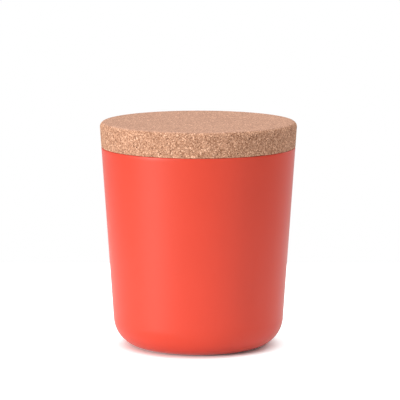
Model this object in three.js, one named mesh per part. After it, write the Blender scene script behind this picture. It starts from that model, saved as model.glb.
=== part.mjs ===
// A round kitchen storage jar with a push-in cork lid.
//
// The jar is one moulded cup: a tapered wall, a deep rounded corner where the wall meets the base, and a low foot
// ring under a shallow recess. The lid is two cork discs bonded together. The wide cap carries the jar's taper on
// upwards, and the narrower plug under it holds a lipped sealing ring in a groove.
//
// Millimetres, +Z up. The origin is the middle of the foot ring, on the surface that the jar stands on.

import * as THREE from 'three';

// ---- Driving dimensions -------------------------------------------------------------------------------------

// Jar
const RIM_RADIUS = 58.3; // outside of the wall, at the rim
const JAR_HEIGHT = 120.7;
const DRAFT_DEGREES = 3.9; // lean of the wall and of the cap's side
const CORNER_RADIUS = 18; // outside corner between the wall and the base
const WALL = 3.2;
const FLOOR = 4;
const RIM_ROUND = 0.6; // on both edges of the rim
const FOOT_WIDTH = 3.4; // flat of the foot ring
const FOOT_HEIGHT = 1.2; // depth of the recess inside the foot ring
const FOOT_ROUND = 0.5;

// Lid cap
const CAP_THICKNESS = 15;
const CAP_TOP_ROUND = 3;
const CAP_BOTTOM_ROUND = 0.4;

// Lid plug
const CORK_OVER_GROOVE = 2.8; // between the cap and the groove
const GROOVE_HEIGHT = 7.6;
const CORK_UNDER_GROOVE = 3.6;
const GROOVE_DEPTH = 2.2;
const PLUG_CHAMFER = 1.2;

// Sealing ring
const BAND_THICKNESS = 1.3;
const LIP_COUNT = 3;
const LIP_ROOT = 1; // thickness of a lip where it leaves the band
const LIP_TIP = 0.45;
const LIP_RISE = 0.5; // how much higher a lip's tip stands than its root

// Clearances
const SEAT_GAP = 0.3; // cap over the rim
const PLUG_GAP = 1; // plug to the bore, at the narrowest place
const RING_GAP = 0.3; // sealing ring to its groove, on every side
const LIP_GAP = 0.3; // lip tips to the bore

// Fineness of the solids
const SEGMENTS = 72; // round each turned piece
const ARC_SAG = 0.04; // how far an arc's straight steps may lie inside it

// ---- Shared geometry ----------------------------------------------------------------------------------------

const TAPER = Math.tan(THREE.MathUtils.degToRad(DRAFT_DEGREES)); // radius gained per millimetre of height
const WALL_ACROSS = WALL * Math.hypot(1, TAPER); // wall thickness measured level

const outsideAt = (z) => RIM_RADIUS - TAPER * (JAR_HEIGHT - z);
const boreAt = (z) => outsideAt(z) - WALL_ACROSS;

const LID_HEIGHT = JAR_HEIGHT + SEAT_GAP; // underside of the cap
const GROOVE_TOP = -CORK_OVER_GROOVE; // this and the next two are measured from the cap's underside
const GROOVE_BOTTOM = GROOVE_TOP - GROOVE_HEIGHT;
const PLUG_BOTTOM = GROOVE_BOTTOM - CORK_UNDER_GROOVE;
const PLUG_RADIUS = boreAt(LID_HEIGHT + PLUG_BOTTOM) - PLUG_GAP;
const GROOVE_RADIUS = PLUG_RADIUS - GROOVE_DEPTH;

const corner = (r, z, round = 0) => ({ at: new THREE.Vector2(r, z), round });

// The straight length that rounding a corner takes from each of its two sides.
function roundingLength(before, at, after, radius) {
  const turn = before.clone().sub(at).angleTo(after.clone().sub(at));
  return radius / Math.tan(turn / 2);
}

// The points of the arc that rounds one corner of an outline.
function roundedCorner(before, at, after, radius) {
  const back = before.clone().sub(at).normalize();
  const ahead = after.clone().sub(at).normalize();
  const length = roundingLength(before, at, after, radius);
  const start = at.clone().addScaledVector(back, length);
  const end = at.clone().addScaledVector(ahead, length);
  const middle = back.add(ahead).normalize();
  const centre = at.clone().addScaledVector(middle, Math.hypot(length, radius));
  const from = start.sub(centre).angle();
  let sweep = end.sub(centre).angle() - from;
  sweep -= 2 * Math.PI * Math.round(sweep / (2 * Math.PI));
  const steps = Math.max(2, Math.ceil(Math.abs(sweep) / (2 * Math.acos(1 - ARC_SAG / radius))));
  return Array.from({ length: steps + 1 }, (_, i) => {
    const angle = from + (sweep * i) / steps;
    return new THREE.Vector2(Math.cos(angle), Math.sin(angle)).multiplyScalar(radius).add(centre);
  });
}

// An outline's corners in order, with the rounded ones turned into arcs.
function outline(corners) {
  return corners.flatMap(({ at, round }, i) => {
    if (!round) return [at];
    return roundedCorner(corners[i - 1].at, at, corners[i + 1].at, round);
  });
}

// A solid turned about +Z from an outline that runs up its outside.
function turned(name, material, corners) {
  const geometry = new THREE.LatheGeometry(outline(corners), SEGMENTS).rotateX(Math.PI / 2);
  const mesh = new THREE.Mesh(geometry, material);
  mesh.name = name;
  return mesh;
}

// ---- Materials ----------------------------------------------------------------------------------------------

const mouldedCoral = new THREE.MeshStandardMaterial({ color: 0xf65a46, roughness: 0.45, metalness: 0 });
const cork = new THREE.MeshStandardMaterial({ color: 0xd0a07a, roughness: 0.9, metalness: 0 });
const silicone = new THREE.MeshStandardMaterial({ color: 0xe9e6df, roughness: 0.5, metalness: 0 });

// ---- Pieces -------------------------------------------------------------------------------------------------

function jarBody() {
  const middle = new THREE.Vector2(0, 0);
  const base = new THREE.Vector2(outsideAt(0), 0); // where the wall would meet the table if its corner were sharp
  const rim = new THREE.Vector2(RIM_RADIUS, JAR_HEIGHT);
  const footOutside = base.x - roundingLength(middle, base, rim, CORNER_RADIUS);
  const footInside = footOutside - FOOT_WIDTH;
  const floorTop = FOOT_HEIGHT + FLOOR;
  return turned('jar_body', mouldedCoral, [
    corner(0, FOOT_HEIGHT),
    corner(footInside - FOOT_HEIGHT, FOOT_HEIGHT, FOOT_ROUND),
    corner(footInside, 0, FOOT_ROUND),
    corner(base.x, base.y, CORNER_RADIUS),
    corner(rim.x, rim.y, RIM_ROUND),
    corner(boreAt(JAR_HEIGHT), JAR_HEIGHT, RIM_ROUND),
    corner(boreAt(floorTop), floorTop, CORNER_RADIUS - WALL),
    corner(0, floorTop),
  ]);
}

// The lid's pieces are drawn from the cap's underside, and the lid group stands them on the jar.
function lidCap() {
  return turned('lid_cap', cork, [
    corner(0, 0),
    corner(outsideAt(LID_HEIGHT), 0, CAP_BOTTOM_ROUND),
    corner(outsideAt(LID_HEIGHT + CAP_THICKNESS), CAP_THICKNESS, CAP_TOP_ROUND),
    corner(0, CAP_THICKNESS),
  ]);
}

function lidPlug() {
  return turned('lid_plug', cork, [
    corner(0, PLUG_BOTTOM),
    corner(PLUG_RADIUS - PLUG_CHAMFER, PLUG_BOTTOM),
    corner(PLUG_RADIUS, PLUG_BOTTOM + PLUG_CHAMFER),
    corner(PLUG_RADIUS, GROOVE_BOTTOM),
    corner(GROOVE_RADIUS, GROOVE_BOTTOM),
    corner(GROOVE_RADIUS, GROOVE_TOP),
    corner(PLUG_RADIUS, GROOVE_TOP),
    corner(PLUG_RADIUS, 0),
    corner(0, 0),
  ]);
}

function sealRing() {
  const inside = GROOVE_RADIUS + RING_GAP;
  const outside = inside + BAND_THICKNESS;
  const low = GROOVE_BOTTOM + RING_GAP;
  const high = GROOVE_TOP - RING_GAP;
  const pitch = (high - low) / LIP_COUNT;
  const lips = Array.from({ length: LIP_COUNT }, (_, i) => {
    const middle = low + pitch * (i + 0.5) - LIP_RISE / 2;
    const tipLow = middle + LIP_RISE - LIP_TIP / 2;
    const reach = boreAt(LID_HEIGHT + tipLow) - LIP_GAP;
    return [
      corner(outside, middle - LIP_ROOT / 2),
      corner(reach, tipLow),
      corner(reach, tipLow + LIP_TIP),
      corner(outside, middle + LIP_ROOT / 2),
    ];
  });
  return turned('seal_ring', silicone, [
    corner(inside, low),
    corner(outside, low),
    ...lips.flat(),
    corner(outside, high),
    corner(inside, high),
    corner(inside, low),
  ]);
}

// ---- Assembly -----------------------------------------------------------------------------------------------

const lid = new THREE.Group();
lid.position.z = LID_HEIGHT;
lid.add(lidCap(), lidPlug(), sealRing());

const storageJar = new THREE.Group();
storageJar.add(jarBody(), lid);

export default storageJar;
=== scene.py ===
"""A kitchen storage jar: a moulded coral cup closed by a cork stopper with a silicone sealing ring.

Every piece is turned about the jar's own upright axis. The cup and the ring are smooth, and the two cork
discs get the relief of their pressed granules. Lengths are in metres, and MM turns millimetres into metres.
"""

import math

import bpy
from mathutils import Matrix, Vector


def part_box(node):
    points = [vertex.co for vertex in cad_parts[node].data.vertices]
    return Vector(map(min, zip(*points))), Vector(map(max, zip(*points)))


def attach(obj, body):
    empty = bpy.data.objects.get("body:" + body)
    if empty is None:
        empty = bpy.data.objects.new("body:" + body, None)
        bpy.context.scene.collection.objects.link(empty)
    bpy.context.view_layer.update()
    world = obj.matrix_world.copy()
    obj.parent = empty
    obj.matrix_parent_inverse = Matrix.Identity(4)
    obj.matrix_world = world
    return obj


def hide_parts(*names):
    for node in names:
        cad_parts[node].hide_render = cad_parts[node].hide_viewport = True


MM = 0.001

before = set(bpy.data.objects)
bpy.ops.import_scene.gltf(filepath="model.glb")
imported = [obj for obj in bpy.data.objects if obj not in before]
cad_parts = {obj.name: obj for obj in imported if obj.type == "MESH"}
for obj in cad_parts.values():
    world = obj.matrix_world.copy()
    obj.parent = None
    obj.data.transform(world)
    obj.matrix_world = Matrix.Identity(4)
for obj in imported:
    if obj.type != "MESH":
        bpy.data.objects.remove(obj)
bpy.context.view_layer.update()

# ---- Sizes of the cup -------------------------------------------------------------------------------------

CUP_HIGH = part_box("jar_body")[1]
RIM_RADIUS = CUP_HIGH.x
CUP_HEIGHT = CUP_HIGH.z
DRAFT = math.tan(math.radians(3.9))
CORNER_ROUND = 18 * MM
WALL = 3.2 * MM
FLOOR = 4 * MM
RIM_ROUND = 0.6 * MM
FOOT_WIDTH = 3.4 * MM
FOOT_HEIGHT = 1.2 * MM
FOOT_ROUND = 0.5 * MM

# ---- Sizes of the lid -------------------------------------------------------------------------------------

CAP_LOW, CAP_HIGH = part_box("lid_cap")
PLUG_LOW, PLUG_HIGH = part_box("lid_plug")
CAP_TOP_ROUND = 3 * MM
CAP_BOTTOM_ROUND = 0.3 * MM
CAP_BEDS_DOWN = 0.2 * MM
BOND = CAP_LOW.z - CAP_BEDS_DOWN
PLUG_RADIUS = PLUG_HIGH.x
PLUG_CHAMFER = 1.2 * MM
CORK_OVER_GROOVE = 2.8 * MM
CORK_UNDER_GROOVE = 3.6 * MM
GROOVE_DEPTH = 2.2 * MM
CORK_EDGE_ROUND = 0.35 * MM

RING_LOW, RING_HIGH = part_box("seal_ring")
RING_INSIDE = PLUG_RADIUS - GROOVE_DEPTH + 0.3 * MM
BAND_THICKNESS = 1.3 * MM
LIP_COUNT = 3
LIP_ROOT = 1 * MM
LIP_TIP = 0.45 * MM
LIP_RISE = 0.5 * MM
LIP_GAP = 0.3 * MM

# ---- Outlines ---------------------------------------------------------------------------------------------


def corner(radius, height, rounding=0.0, step=None):
    """One corner of an outline. Its step is how finely the straight run that leads to it is cut."""
    return Vector((radius, height)), rounding, step


def rounding_length(before, at, after, radius):
    """The straight length that rounding a corner takes from each of its two sides."""
    turn = (before - at).angle(after - at)
    return radius / math.tan(turn / 2)


def rounded_corner(before, at, after, radius, step):
    """The points of the arc that rounds one corner of an outline."""
    back = (before - at).normalized()
    ahead = (after - at).normalized()
    length = rounding_length(before, at, after, radius)
    start = at + back * length
    end = at + ahead * length
    centre = at + (back + ahead).normalized() * math.hypot(length, radius)
    first = start - centre
    last = end - centre
    sweep = -first.angle_signed(last)
    steps = max(4, math.ceil(abs(sweep) * radius / step))
    points = []
    for i in range(steps + 1):
        angle = sweep * i / steps
        turned_x = first.x * math.cos(angle) - first.y * math.sin(angle)
        turned_y = first.x * math.sin(angle) + first.y * math.cos(angle)
        points.append(centre + Vector((turned_x, turned_y)))
    return points


def run_between(start, end, step):
    """The points that cut a straight run into steps, without its two ends."""
    count = max(1, math.ceil((end - start).length / step - 0.001))
    return [start.lerp(end, i / count) for i in range(1, count)]


def outline(corners, arc_step, line_step):
    """The points of an outline: rounded corners as arcs, and straight runs cut into steps."""
    line = []
    for i, (at, rounding, step) in enumerate(corners):
        if rounding:
            before, after = corners[i - 1][0], corners[(i + 1) % len(corners)][0]
            turn = rounded_corner(before, at, after, rounding, arc_step)
        else:
            turn = [at]
        if line:
            line.extend(run_between(line[-1], turn[0], step or line_step))
        line.extend(turn)
    return line


# ---- Turned pieces ----------------------------------------------------------------------------------------

FEWEST_AROUND = 8


def points_around(radius, widest, most):
    """How many points a ring has: the widest has most, and it halves each time the radius does."""
    if radius < 1e-7:
        return 1
    halvings = int(math.log2(max(1.0, widest / radius)))
    return max(FEWEST_AROUND, most >> halvings)


def ring_faces(outer, inner):
    """The faces between two neighbouring rings. The first has as many points as the second, or double."""
    count, inner_count = len(outer), len(inner)
    faces = []
    for i in range(count):
        ahead = outer[(i + 1) % count]
        if inner_count == 1:
            faces.append((outer[i], ahead, inner[0]))
        elif inner_count == count:
            faces.append((outer[i], ahead, inner[(i + 1) % count], inner[i]))
        else:
            near = inner[i // 2]
            far = inner[(i // 2 + 1) % inner_count]
            if i % 2 == 0:
                faces.append((outer[i], ahead, near))
            else:
                faces.append((outer[i], ahead, far))
                faces.append((outer[i], far, near))
    return faces


def turned(name, line, around, closed=False):
    """A closed piece turned about the upright axis from an outline that runs up its outside."""
    widest = max(point.x for point in line)
    vertices, rings = [], []
    for point in line:
        count = points_around(point.x, widest, around)
        rings.append(range(len(vertices), len(vertices) + count))
        for i in range(count):
            angle = math.tau * i / count
            vertices.append((point.x * math.cos(angle), point.x * math.sin(angle), point.y))
    pairs = list(zip(rings, rings[1:]))
    if closed:
        pairs.append((rings[-1], rings[0]))
    faces = []
    for lower, upper in pairs:
        if len(lower) >= len(upper):
            faces.extend(ring_faces(lower, upper))
        else:
            faces.extend(tuple(reversed(face)) for face in ring_faces(upper, lower))
    mesh = bpy.data.meshes.new(name)
    mesh.from_pydata(vertices, [], faces)
    mesh.shade_smooth()
    piece = bpy.data.objects.new(name, mesh)
    bpy.context.scene.collection.objects.link(piece)
    return piece


# ---- Node helpers -----------------------------------------------------------------------------------------


def add_node(tree, kind, inputs=None, **settings):
    """Adds a node, sets its settings, and sets or links its inputs."""
    node = tree.nodes.new(kind)
    for name, value in settings.items():
        setattr(node, name, value)
    for name, value in (inputs or {}).items():
        if isinstance(value, bpy.types.NodeSocket):
            tree.links.new(value, node.inputs[name])
        else:
            node.inputs[name].default_value = value
    return node


def maths(tree, operation, first, second=0.0, clamped=False):
    node = add_node(tree, "ShaderNodeMath", {0: first, 1: second}, operation=operation, use_clamp=clamped)
    return node.outputs[0]


def ramp(tree, value, low, high, smooth=True):
    """A value turned into 0 to 1 between two limits."""
    kind = "SMOOTHSTEP" if smooth else "LINEAR"
    node = add_node(
        tree,
        "ShaderNodeMapRange",
        {"Value": value, "From Min": low, "From Max": high},
        interpolation_type=kind,
    )
    return node.outputs["Result"]


def noise(tree, place, size, detail=2.0, rough=0.5):
    """Soft noise from 0 to 1, whose lumps are about the given size."""
    scale = maths(tree, "DIVIDE", 1.0, size) if isinstance(size, bpy.types.NodeSocket) else 1 / size
    node = add_node(
        tree, "ShaderNodeTexNoise", {"Vector": place, "Scale": scale, "Detail": detail, "Roughness": rough}
    )
    return node


def blend_colours(tree, amount, first, second, kind="MIX"):
    node = add_node(
        tree, "ShaderNodeMix", {0: amount, 6: first, 7: second}, data_type="RGBA", blend_type=kind
    )
    return node.outputs[2]


def new_group(name, kind, inputs, outputs):
    """A node group with named inputs and outputs, each given as (name, socket type, starting value)."""
    group = bpy.data.node_groups.new(name, kind)
    for label, socket_type, value in inputs:
        socket = group.interface.new_socket(label, in_out="INPUT", socket_type=socket_type)
        if value is not None:
            socket.default_value = value
    for label, socket_type in outputs:
        group.interface.new_socket(label, in_out="OUTPUT", socket_type=socket_type)
    source = group.nodes.new("NodeGroupInput")
    result = group.nodes.new("NodeGroupOutput")
    return group, source.outputs, result.inputs


# ---- Shared effects ---------------------------------------------------------------------------------------


def cork_granules(kind):
    """Pressed cork: granules and finer crumbs, each with a tone of its own, and seams and voids between them.
    The same group serves the relief of the mesh and the colours of the material."""
    group, given, result = new_group(
        "Cork granules " + kind,
        kind,
        [("Place", "NodeSocketVector", None), ("Granule Size", "NodeSocketFloat", 1 * MM)],
        [
            ("Tone", "NodeSocketFloat"),
            ("Seam", "NodeSocketFloat"),
            ("Void", "NodeSocketFloat"),
            ("Relief", "NodeSocketFloat"),
        ],
    )
    size = given["Granule Size"]
    crumb_size = maths(group, "MULTIPLY", size, 0.52)
    bend = noise(group, given["Place"], crumb_size, detail=1.0)
    centred = add_node(
        group, "ShaderNodeVectorMath", {0: bend.outputs["Color"], 1: (0.5, 0.5, 0.5)}, operation="SUBTRACT"
    )
    pushed = add_node(
        group,
        "ShaderNodeVectorMath",
        {0: centred.outputs[0], "Scale": maths(group, "MULTIPLY", size, 0.75)},
        operation="SCALE",
    )
    place = add_node(
        group, "ShaderNodeVectorMath", {0: given["Place"], 1: pushed.outputs[0]}, operation="ADD"
    ).outputs[0]

    def cells(cell_size):
        scale = maths(group, "DIVIDE", 1.0, cell_size)
        body = add_node(group, "ShaderNodeTexVoronoi", {"Vector": place, "Scale": scale}, feature="F1")
        edge = add_node(
            group, "ShaderNodeTexVoronoi", {"Vector": place, "Scale": scale}, feature="DISTANCE_TO_EDGE"
        )
        draws = add_node(group, "ShaderNodeSeparateXYZ", {0: body.outputs["Color"]}).outputs
        return draws, edge.outputs["Distance"]

    granule, granule_edge = cells(size)
    crumb, crumb_edge = cells(crumb_size)
    crumbled = maths(group, "GREATER_THAN", granule[1], 0.45)

    def pick(whole, broken):
        """The granule's own value, or its crumbs' where it is a broken one."""
        step = maths(group, "SUBTRACT", broken, whole)
        return maths(group, "ADD", whole, maths(group, "MULTIPLY", step, crumbled))

    tone = pick(granule[0], crumb[0])
    crumb_depth = maths(group, "MULTIPLY", crumb_edge, 0.6)
    depth = pick(granule_edge, maths(group, "MINIMUM", crumb_depth, granule_edge))
    lost = pick(
        maths(group, "LESS_THAN", granule[2], 0.03),
        maths(group, "LESS_THAN", crumb[2], 0.12),
    )
    inside = ramp(group, depth, 0.0, 0.16)
    seam = maths(group, "SUBTRACT", 1.0, ramp(group, depth, 0.0, 0.09))
    void = maths(group, "MULTIPLY", lost, inside)
    crown = maths(group, "MULTIPLY", inside, maths(group, "ADD", 0.7, maths(group, "MULTIPLY", tone, 0.3)))
    relief = maths(group, "SUBTRACT", crown, maths(group, "MULTIPLY", void, 1.4))
    for label, socket in (("Tone", tone), ("Seam", seam), ("Void", void), ("Relief", relief)):
        group.links.new(socket, result[label])
    return group


def soft_mottling():
    """Broad, gentle unevenness of tone, as pressed and moulded goods have."""
    group, given, result = new_group(
        "Soft mottling",
        "ShaderNodeTree",
        [
            ("Place", "NodeSocketVector", None),
            ("Patch Size", "NodeSocketFloat", 20 * MM),
            ("Amount", "NodeSocketFloat", 0.05),
            ("Colour", "NodeSocketColor", (1, 1, 1, 1)),
        ],
        [("Colour", "NodeSocketColor"), ("Value", "NodeSocketFloat")],
    )
    patches = noise(group, given["Place"], given["Patch Size"], detail=3.0).outputs[0]
    swing = maths(group, "MULTIPLY", maths(group, "SUBTRACT", patches, 0.5), 2.0)
    gain = maths(group, "ADD", 1.0, maths(group, "MULTIPLY", swing, given["Amount"]))
    scaled = add_node(
        group, "ShaderNodeVectorMath", {0: given["Colour"], "Scale": gain}, operation="SCALE"
    )
    group.links.new(scaled.outputs[0], result["Colour"])
    group.links.new(patches, result["Value"])
    return group


def fine_flecks():
    """Short fibres or specks scattered through a material, as a mask."""
    group, given, result = new_group(
        "Fine flecks",
        "ShaderNodeTree",
        [
            ("Place", "NodeSocketVector", None),
            ("Spacing", "NodeSocketFloat", 2 * MM),
            ("Length", "NodeSocketFloat", 3.0),
            ("Fill", "NodeSocketFloat", 0.1),
        ],
        [("Mask", "NodeSocketFloat")],
    )
    spin = noise(group, given["Place"], maths(group, "MULTIPLY", given["Spacing"], 6.0), detail=0.0)
    angle = maths(group, "MULTIPLY", spin.outputs[0], 4 * math.tau)
    turned_place = add_node(
        group,
        "ShaderNodeVectorRotate",
        {"Vector": given["Place"], "Angle": angle},
        rotation_type="AXIS_ANGLE",
    )
    turned_place.inputs["Axis"].default_value = (0.5, 0.3, 0.81)
    stretch = add_node(group, "ShaderNodeCombineXYZ", {1: 1.0, 2: 1.0})
    group.links.new(maths(group, "DIVIDE", 1.0, given["Length"]), stretch.inputs[0])
    squeezed = add_node(
        group,
        "ShaderNodeVectorMath",
        {0: turned_place.outputs[0], 1: stretch.outputs[0]},
        operation="MULTIPLY",
    )
    cells = add_node(
        group,
        "ShaderNodeTexVoronoi",
        {"Vector": squeezed.outputs[0], "Scale": maths(group, "DIVIDE", 1.0, given["Spacing"])},
    )
    draws = add_node(group, "ShaderNodeSeparateXYZ", {0: cells.outputs["Color"]}).outputs
    width = maths(group, "MULTIPLY", given["Fill"], draws[0])
    reach = maths(group, "DIVIDE", cells.outputs["Distance"], width)
    mask = maths(group, "SUBTRACT", 1.0, reach, clamped=True)
    group.links.new(mask, result["Mask"])
    return group


def worn_edges():
    """Where handling has rubbed a raised edge, broken up by noise, and where the surface lies in a hollow."""
    group, given, result = new_group(
        "Worn edges",
        "ShaderNodeTree",
        [
            ("Place", "NodeSocketVector", None),
            ("Sharpness", "NodeSocketFloat", 0.53),
            ("Patchiness", "NodeSocketFloat", 0.5),
        ],
        [("Edge", "NodeSocketFloat"), ("Hollow", "NodeSocketFloat")],
    )
    geometry = add_node(group, "ShaderNodeNewGeometry")
    point = geometry.outputs["Pointiness"]
    patches = noise(group, given["Place"], 3 * MM, detail=3.0).outputs[0]
    broken = ramp(group, patches, given["Patchiness"], 0.75)
    edge = ramp(group, point, 0.505, given["Sharpness"])
    hollow = ramp(group, point, 0.495, maths(group, "SUBTRACT", 1.0, given["Sharpness"]))
    group.links.new(maths(group, "MULTIPLY", edge, broken), result["Edge"])
    group.links.new(hollow, result["Hollow"])
    return group


CORK_PATTERN = cork_granules("ShaderNodeTree")
CORK_SHAPE = cork_granules("GeometryNodeTree")
MOTTLING = soft_mottling()
FLECKS = fine_flecks()
WEAR = worn_edges()


def effect(tree, group, **inputs):
    """Places a shared effect in a material. An input's spaces are written as underlines."""
    node = add_node(tree, "ShaderNodeGroup", node_tree=group)
    for label, value in inputs.items():
        socket = node.inputs[label.replace("_", " ")]
        if isinstance(value, bpy.types.NodeSocket):
            tree.links.new(value, socket)
        else:
            socket.default_value = value
    return node


# ---- Materials --------------------------------------------------------------------------------------------


def new_material(name, roughness, **settings):
    """A material with one Principled shader, and the settings that are the same all over it."""
    material = bpy.data.materials.new(name)
    material.use_nodes = True
    tree = material.node_tree
    shader = tree.nodes["Principled BSDF"]
    shader.inputs["Roughness"].default_value = roughness
    for label, value in settings.items():
        shader.inputs[label.replace("_", " ")].default_value = value
    place = add_node(tree, "ShaderNodeTexCoord").outputs["Object"]
    return material, tree, shader, place


def raise_surface(tree, shader, heights):
    """Stacks bumps on a shader, each given as (height socket, depth in metres, strength)."""
    normal = None
    for height, depth, strength in heights:
        bump = add_node(tree, "ShaderNodeBump", {"Height": height, "Distance": depth, "Strength": strength})
        if normal:
            tree.links.new(normal, bump.inputs["Normal"])
        normal = bump.outputs["Normal"]
    tree.links.new(normal, shader.inputs["Normal"])


CORAL = (0.581, 0.0388, 0.0133, 1)
CORAL_RUBBED = (0.66, 0.13, 0.09, 1)
CORAL_FIBRE = (0.56, 0.075, 0.035, 1)


def coral_material():
    """Satin melamine filled with bamboo fibre, moulded coral right through, with a faint dusty sheen."""
    material, tree, shader, place = new_material(
        "moulded coral", 0.42, Specular_IOR_Level=0.48, Sheen_Weight=0.2, Sheen_Roughness=0.3
    )
    tone = effect(tree, MOTTLING, Place=place, Patch_Size=26 * MM, Amount=0.03, Colour=CORAL)
    fibres = effect(tree, FLECKS, Place=place, Spacing=1.4 * MM, Length=4.0, Fill=0.16)
    fleck = maths(tree, "MULTIPLY", fibres.outputs["Mask"], 0.35)
    colour = blend_colours(tree, fleck, tone.outputs["Colour"], CORAL_FIBRE)
    wear = effect(tree, WEAR, Place=place, Sharpness=0.56, Patchiness=0.45)
    rubbed = maths(tree, "MULTIPLY", wear.outputs["Edge"], 0.3)
    colour = blend_colours(tree, rubbed, colour, CORAL_RUBBED)
    tree.links.new(colour, shader.inputs["Base Color"])
    gloss = maths(tree, "ADD", 0.40, maths(tree, "MULTIPLY", tone.outputs["Value"], 0.06))
    tree.links.new(maths(tree, "ADD", gloss, rubbed), shader.inputs["Roughness"])
    peel = noise(tree, place, 0.7 * MM, detail=2.0).outputs[0]
    raise_surface(tree, shader, [(peel, 0.02 * MM, 0.25), (fibres.outputs["Mask"], 0.01 * MM, 0.2)])
    return material


CORK_TONES = (
    (0.00, (0.171, 0.068, 0.033, 1)),
    (0.15, (0.355, 0.168, 0.093, 1)),
    (0.40, (0.532, 0.279, 0.168, 1)),
    (0.75, (0.709, 0.395, 0.252, 1)),
    (1.00, (0.915, 0.560, 0.380, 1)),
)
CORK_GLUE = (0.150, 0.060, 0.029, 1)
# Painted shade: the near-black of the voids stands for the shade inside the holes.
CORK_VOID_SHADE = (0.090, 0.036, 0.018, 1)
CORK_PORE = (0.25, 0.115, 0.060, 1)
CORK_DUST = (0.630, 0.365, 0.258, 1)
# Tint of the level faces: partly the sanded cork, partly painted light that sets how bright the top looks
# against the side.
CORK_SANDED_FACE_AND_LIGHT = (0.567, 0.356, 0.290, 1)
GRANULE = 0.68 * MM


SEAM_SHOWS = 0.6
SANDED_CLOSES = 0.15
SANDED_AND_LIGHT_TINTS = 0.25
EDGE_DUST = 0.15
CORK_RELIEF = 0.10 * MM


def sanded(tree, normal):
    """The level faces of a cork disc, which are sanded smooth, as against its turned side."""
    upright = add_node(tree, "ShaderNodeSeparateXYZ", {0: normal}).outputs[2]
    return ramp(tree, maths(tree, "ABSOLUTE", upright), 0.70, 0.95)


def cork_material():
    """Agglomerated cork: pale and dark granules with open voids, which sanding fills a little. The voids are
    painted dark as their shade, and the tint of the level faces is partly sanded cork and partly painted
    light.
    """
    material, tree, shader, place = new_material("cork", 0.85, Specular_IOR_Level=0.25)
    grain = effect(tree, CORK_PATTERN, Place=place, Granule_Size=GRANULE)
    tones = add_node(tree, "ShaderNodeValToRGB", {"Fac": grain.outputs["Tone"]})
    stops = tones.color_ramp.elements
    while len(stops) < len(CORK_TONES):
        stops.new(0.5)
    for stop, (position, colour) in zip(stops, CORK_TONES):
        stop.position = position
        stop.color = colour
    colour = tones.outputs["Color"]
    cells = noise(tree, place, 0.12 * MM, detail=2.0).outputs[0]
    speckle = ramp(tree, cells, 0.25, 0.75, smooth=False)
    shade = maths(tree, "MULTIPLY", maths(tree, "SUBTRACT", 1.0, speckle), 0.25)
    colour = blend_colours(tree, shade, colour, CORK_PORE)
    smooth = sanded(tree, add_node(tree, "ShaderNodeNewGeometry").outputs["Normal"])
    open_grain = maths(tree, "SUBTRACT", 1.0, maths(tree, "MULTIPLY", smooth, SANDED_CLOSES))
    seam = maths(tree, "MULTIPLY", maths(tree, "MULTIPLY", grain.outputs["Seam"], SEAM_SHOWS), open_grain)
    colour = blend_colours(tree, seam, colour, CORK_GLUE)
    # Voids get painted shade, deeper than the shallow sunk relief casts; level faces show less of it.
    void = maths(tree, "MULTIPLY", grain.outputs["Void"], open_grain)
    colour = blend_colours(tree, void, colour, CORK_VOID_SHADE)
    # Level faces blend towards the sanded tint: partly real sanding, partly painted light for the top's
    # brightness against the turned side.
    colour = blend_colours(tree, maths(tree, "MULTIPLY", smooth, SANDED_AND_LIGHT_TINTS), colour, CORK_SANDED_FACE_AND_LIGHT)
    wear = effect(tree, WEAR, Place=place, Sharpness=0.6, Patchiness=0.4)
    dusty = maths(tree, "MULTIPLY", wear.outputs["Edge"], EDGE_DUST)
    colour = blend_colours(tree, dusty, colour, CORK_DUST)
    clusters = effect(tree, MOTTLING, Place=place, Patch_Size=2.6 * MM, Amount=0.16, Colour=colour)
    colour = clusters.outputs["Colour"]
    tone = effect(tree, MOTTLING, Place=place, Patch_Size=14 * MM, Amount=0.06, Colour=colour)
    tree.links.new(tone.outputs["Colour"], shader.inputs["Base Color"])
    rough = maths(tree, "ADD", 0.78, maths(tree, "MULTIPLY", grain.outputs["Seam"], 0.2))
    tree.links.new(rough, shader.inputs["Roughness"])
    raise_surface(tree, shader, [(grain.outputs["Relief"], 0.08 * MM, 0.5), (cells, 0.02 * MM, 0.3)])
    return material


SILICONE = (0.80, 0.78, 0.72, 1)
SILICONE_LINT = (0.55, 0.42, 0.32, 1)
SILICONE_HOLLOW = (0.62, 0.56, 0.48, 1)


def silicone_material():
    """Milky food-grade silicone, a little cloudy, flecked with lint, and darker and warmer in its hollows."""
    material, tree, shader, place = new_material(
        "silicone",
        0.38,
        Subsurface_Weight=0.35,
        Subsurface_Scale=2 * MM,
        Subsurface_Radius=(1.0, 0.9, 0.75),
    )
    tone = effect(tree, MOTTLING, Place=place, Patch_Size=8 * MM, Amount=0.03, Colour=SILICONE)
    lint = effect(tree, FLECKS, Place=place, Spacing=2.2 * MM, Length=6.0, Fill=0.06)
    speck = maths(tree, "MULTIPLY", lint.outputs["Mask"], 0.35)
    colour = blend_colours(tree, speck, tone.outputs["Colour"], SILICONE_LINT)
    wear = effect(tree, WEAR, Place=place, Sharpness=0.6, Patchiness=0.3)
    # Darker and warmer where the surface lies in a hollow.
    hollow_darkening = maths(tree, "MULTIPLY", wear.outputs["Hollow"], 0.25)
    colour = blend_colours(tree, hollow_darkening, colour, SILICONE_HOLLOW)
    tree.links.new(colour, shader.inputs["Base Color"])
    gloss = maths(tree, "ADD", 0.34, maths(tree, "MULTIPLY", tone.outputs["Value"], 0.1))
    tree.links.new(gloss, shader.inputs["Roughness"])
    haze = noise(tree, place, 0.4 * MM, detail=1.0).outputs[0]
    raise_surface(tree, shader, [(haze, 0.01 * MM, 0.3)])
    return material


# ---- Cork relief ------------------------------------------------------------------------------------------


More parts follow.
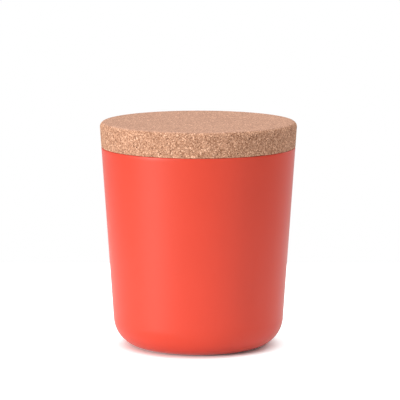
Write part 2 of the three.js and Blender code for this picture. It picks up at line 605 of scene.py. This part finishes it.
def cork_relief(piece, depth):
    """Presses the granules' relief into a cork piece, inwards only, and keeps the result as its mesh."""
    group = bpy.data.node_groups.new("Cork relief", "GeometryNodeTree")
    group.interface.new_socket("Geometry", in_out="INPUT", socket_type="NodeSocketGeometry")
    group.interface.new_socket("Geometry", in_out="OUTPUT", socket_type="NodeSocketGeometry")
    source = group.nodes.new("NodeGroupInput")
    result = group.nodes.new("NodeGroupOutput")
    place = add_node(group, "GeometryNodeInputPosition").outputs[0]
    facing = add_node(group, "GeometryNodeInputNormal").outputs[0]
    grain = add_node(group, "GeometryNodeGroup", node_tree=CORK_SHAPE)
    group.links.new(place, grain.inputs["Place"])
    grain.inputs["Granule Size"].default_value = GRANULE
    sunk = maths(group, "SUBTRACT", grain.outputs["Relief"], 1.0)
    kept = maths(group, "SUBTRACT", 1.0, maths(group, "MULTIPLY", sanded(group, facing), 0.6))
    travel = maths(group, "MULTIPLY", maths(group, "MULTIPLY", sunk, kept), depth)
    offset = add_node(
        group, "ShaderNodeVectorMath", {0: facing, "Scale": travel}, operation="SCALE"
    ).outputs[0]
    moved = add_node(group, "GeometryNodeSetPosition", {"Geometry": source.outputs[0], "Offset": offset})
    group.links.new(moved.outputs[0], result.inputs[0])
    modifier = piece.modifiers.new("Cork relief", "NODES")
    modifier.node_group = group
    depsgraph = bpy.context.evaluated_depsgraph_get()
    pressed = bpy.data.meshes.new_from_object(piece.evaluated_get(depsgraph))
    pressed.name = piece.name
    piece.modifiers.clear()
    piece.data = pressed
    piece.data.shade_smooth()


# ---- Pieces -----------------------------------------------------------------------------------------------


HIDDEN_STEP = 7 * MM


def place_piece(piece, body, node, material):
    piece.data.materials.clear()
    piece.data.materials.append(material)
    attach(piece, body)
    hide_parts(node)


def outside_at(height):
    return RIM_RADIUS - DRAFT * (CUP_HEIGHT - height)


def bore_at(height):
    return outside_at(height) - WALL * math.hypot(1, DRAFT)


def make_cup():
    """The moulded cup, with its rounded rim, deep outside corner and foot ring."""
    middle = Vector((0, 0))
    base = Vector((outside_at(0), 0))
    rim = Vector((RIM_RADIUS, CUP_HEIGHT))
    foot_outside = base.x - rounding_length(middle, base, rim, CORNER_ROUND)
    foot_inside = foot_outside - FOOT_WIDTH
    floor_top = FOOT_HEIGHT + FLOOR
    corners = [
        corner(0, FOOT_HEIGHT),
        corner(foot_inside - FOOT_HEIGHT, FOOT_HEIGHT, FOOT_ROUND),
        corner(foot_inside, 0, FOOT_ROUND),
        corner(base.x, base.y, CORNER_ROUND),
        corner(rim.x, rim.y, RIM_ROUND),
        corner(bore_at(CUP_HEIGHT), CUP_HEIGHT, RIM_ROUND),
        corner(bore_at(floor_top), floor_top, CORNER_ROUND - WALL),
        corner(0, floor_top),
    ]
    return turned("cup", outline(corners, arc_step=0.5 * MM, line_step=2 * MM), around=256)


def make_cap():
    """The wide cork disc that shows when the jar is shut."""
    corners = [
        corner(0, BOND),
        corner(PLUG_RADIUS - 1 * MM, BOND, step=HIDDEN_STEP),
        corner(outside_at(BOND), BOND, CAP_BOTTOM_ROUND, step=0.8 * MM),
        corner(outside_at(CAP_HIGH.z), CAP_HIGH.z, CAP_TOP_ROUND),
        corner(0, CAP_HIGH.z, step=0.75 * MM),
    ]
    piece = turned("cork_cap", outline(corners, arc_step=0.45 * MM, line_step=0.45 * MM), around=960)
    cork_relief(piece, CORK_RELIEF)
    return piece


def make_plug():
    """The narrow cork disc that goes into the mouth, grooved for the ring. The cap hides its upper face."""
    groove = PLUG_RADIUS - GROOVE_DEPTH
    groove_top = PLUG_HIGH.z - CORK_OVER_GROOVE
    groove_bottom = PLUG_LOW.z + CORK_UNDER_GROOVE
    corners = [
        corner(0, PLUG_LOW.z),
        corner(PLUG_RADIUS - PLUG_CHAMFER, PLUG_LOW.z, CORK_EDGE_ROUND),
        corner(PLUG_RADIUS, PLUG_LOW.z + PLUG_CHAMFER, CORK_EDGE_ROUND),
        corner(PLUG_RADIUS, groove_bottom, CORK_EDGE_ROUND),
        corner(groove, groove_bottom, CORK_EDGE_ROUND),
        corner(groove, groove_top, CORK_EDGE_ROUND),
        corner(PLUG_RADIUS, groove_top, CORK_EDGE_ROUND),
        corner(PLUG_RADIUS, BOND),
        corner(0, BOND, step=HIDDEN_STEP),
    ]
    piece = turned("cork_plug", outline(corners, arc_step=0.3 * MM, line_step=0.6 * MM), around=640)
    cork_relief(piece, CORK_RELIEF)
    return piece


def make_ring():
    """The silicone ring: a flat band with thin lips that sweep up and out to the wall."""
    outside = RING_INSIDE + BAND_THICKNESS
    low, high = RING_LOW.z, RING_HIGH.z
    pitch = (high - low) / LIP_COUNT
    corners = [corner(RING_INSIDE, low, 0.2 * MM), corner(outside, low, 0.2 * MM)]
    for i in range(LIP_COUNT):
        middle = low + pitch * (i + 0.5) - LIP_RISE / 2
        tip_low = middle + LIP_RISE - LIP_TIP / 2
        reach = bore_at(tip_low) - LIP_GAP
        corners += [
            corner(outside, middle - LIP_ROOT / 2, 0.25 * MM),
            corner(reach, tip_low, LIP_TIP * 0.35),
            corner(reach, tip_low + LIP_TIP, LIP_TIP * 0.35),
            corner(outside, middle + LIP_ROOT / 2, 0.25 * MM),
        ]
    corners += [corner(outside, high, 0.2 * MM), corner(RING_INSIDE, high, 0.2 * MM)]
    line = outline(corners, arc_step=0.08 * MM, line_step=0.5 * MM)
    return turned("sealing_ring", line, around=288, closed=True)


def build_jar():
    coral = coral_material()
    cork = cork_material()
    silicone = silicone_material()
    place_piece(make_cup(), "jar", "jar_body", coral)
    place_piece(make_cap(), "lid", "lid_cap", cork)
    place_piece(make_plug(), "lid", "lid_plug", cork)
    place_piece(make_ring(), "seal", "seal_ring", silicone)


# ---- Camera -----------------------------------------------------------------------------------------------

LENS = 270
SENSOR = 36
CAMERA_DISTANCE = 1.808
CAMERA_RISE = math.radians(8.78)
JAR_MIDDLE = Vector((0, 0, 0.068))
FRAME_MIDDLE = Vector((0.00096, 0, 0.0882))


def make_camera():
    """A long lens a little above the jar, whose frame leaves more room above the lid than below the foot."""
    data = bpy.data.cameras.new("camera")
    data.lens = LENS
    data.sensor_width = SENSOR
    data.clip_start = 0.1
    data.clip_end = 50
    camera = bpy.data.objects.new("camera", data)
    back = Vector((0, -math.cos(CAMERA_RISE), math.sin(CAMERA_RISE)))
    camera.location = JAR_MIDDLE + back * CAMERA_DISTANCE
    camera.rotation_euler = (FRAME_MIDDLE - camera.location).to_track_quat("-Z", "Y").to_euler()
    bpy.context.scene.collection.objects.link(camera)
    bpy.context.scene.camera = camera


# ---- Studio -----------------------------------------------------------------------------------------------


FLOOR_HALF = 0.3
FLOOR_WHITE = (0.9, 0.9, 0.9, 1)
FLOOR_SEEN = (1.20, 1.39, 1.40, 1)


def make_floor():
    """A sheet of plain white card. The camera sees it brighter and a little cooler than it lights the jar, so
    that it blends into the backdrop, and only the shadow close round the foot still shows on it."""
    mesh = bpy.data.meshes.new("floor")
    signs = ((-1, -1), (1, -1), (1, 1), (-1, 1))
    mesh.from_pydata([(x * FLOOR_HALF, y * FLOOR_HALF, 0) for x, y in signs], [], [(0, 1, 2, 3)])
    material = bpy.data.materials.new("floor")
    material.use_nodes = True
    tree = material.node_tree
    shader = tree.nodes["Principled BSDF"]
    shader.inputs["Roughness"].default_value = 0.9
    shader.inputs["Specular IOR Level"].default_value = 0.0
    path = add_node(tree, "ShaderNodeLightPath")
    white = blend_colours(tree, path.outputs["Is Camera Ray"], FLOOR_WHITE, FLOOR_SEEN)
    tree.links.new(white, shader.inputs["Base Color"])
    mesh.materials.append(material)
    floor = bpy.data.objects.new("floor", mesh)
    bpy.context.scene.collection.objects.link(floor)


def soft_light(name, azimuth, rise, spread, strength):
    """A broad, distant light. Azimuth 0 is in front and 90 to the right, and spread is how wide it looks."""
    data = bpy.data.lights.new(name, "SUN")
    data.angle = math.radians(spread)
    data.energy = strength * math.pi
    light = bpy.data.objects.new(name, data)
    turn, up = math.radians(azimuth), math.radians(rise)
    back = Vector((math.sin(turn) * math.cos(up), -math.cos(turn) * math.cos(up), math.sin(up)))
    light.location = JAR_MIDDLE + back
    light.rotation_euler = (-back).to_track_quat("-Z", "Y").to_euler()
    bpy.context.scene.collection.objects.link(light)


BACK_RIGHT_AT = 134
BACK_LEFT_AT = -130
STRIP_REACH = 20
CEILING_LIGHT = 1.97
FRONT_LIGHT = 0.82
BACK_RIGHT_LIGHT = 2.4
BACK_LEFT_LIGHT = 1.0
LOW_LIGHT = 0.66


def make_world():
    """The studio round the jar: a bright ceiling, a soft wall in front, a narrow strip of wall behind on each
    side, and a dimmer room below the card's level. The camera sees plain white."""
    world = bpy.data.worlds.new("studio")
    world.use_nodes = True
    tree = world.node_tree
    tree.nodes.clear()
    direction = add_node(tree, "ShaderNodeTexCoord").outputs["Generated"]
    across, away, up = add_node(tree, "ShaderNodeSeparateXYZ", {0: direction}).outputs
    azimuth = maths(tree, "ARCTAN2", across, maths(tree, "MULTIPLY", away, -1.0))
    ceiling = ramp(tree, up, 0.5, 0.9)
    below = ramp(tree, up, 0.02, -0.02)
    wall = maths(tree, "SUBTRACT", maths(tree, "SUBTRACT", 1.0, ceiling), below)
    aside = ramp(tree, maths(tree, "ABSOLUTE", azimuth), math.radians(60), math.radians(80))
    front = maths(tree, "MULTIPLY", maths(tree, "SUBTRACT", 1.0, aside), wall)

    def strip(middle):
        """An upright strip of wall, brightest at its middle and fading out to either side."""
        aside = maths(tree, "ABSOLUTE", maths(tree, "SUBTRACT", azimuth, math.radians(middle)))
        reach = maths(tree, "DIVIDE", aside, math.radians(STRIP_REACH))
        fading = maths(tree, "SUBTRACT", 1.0, reach, clamped=True)
        return maths(tree, "MULTIPLY", fading, wall)

    strength = 0.0
    for part, light in (
        (ceiling, CEILING_LIGHT),
        (front, FRONT_LIGHT),
        (strip(BACK_RIGHT_AT), BACK_RIGHT_LIGHT),
        (strip(BACK_LEFT_AT), BACK_LEFT_LIGHT),
        (below, LOW_LIGHT),
    ):
        strength = maths(tree, "ADD", maths(tree, "MULTIPLY", part, light), strength)
    surround = add_node(tree, "ShaderNodeBackground", {"Color": (1, 1, 1, 1), "Strength": strength})
    backdrop = add_node(tree, "ShaderNodeBackground", {"Color": (1, 1, 1, 1), "Strength": 1.0})
    path = add_node(tree, "ShaderNodeLightPath")
    mixed = add_node(
        tree,
        "ShaderNodeMixShader",
        {0: path.outputs["Is Camera Ray"], 1: surround.outputs[0], 2: backdrop.outputs[0]},
    )
    add_node(tree, "ShaderNodeOutputWorld", {"Surface": mixed.outputs[0]})
    bpy.context.scene.world = world


def make_studio():
    make_floor()
    make_world()
    soft_light("key", azimuth=-57, rise=10, spread=20, strength=0.89)
    scene = bpy.context.scene
    scene.view_settings.view_transform = "Standard"
    scene.view_settings.look = "None"


# ---- The whole scene --------------------------------------------------------------------------------------

make_camera()
make_studio()
build_jar()
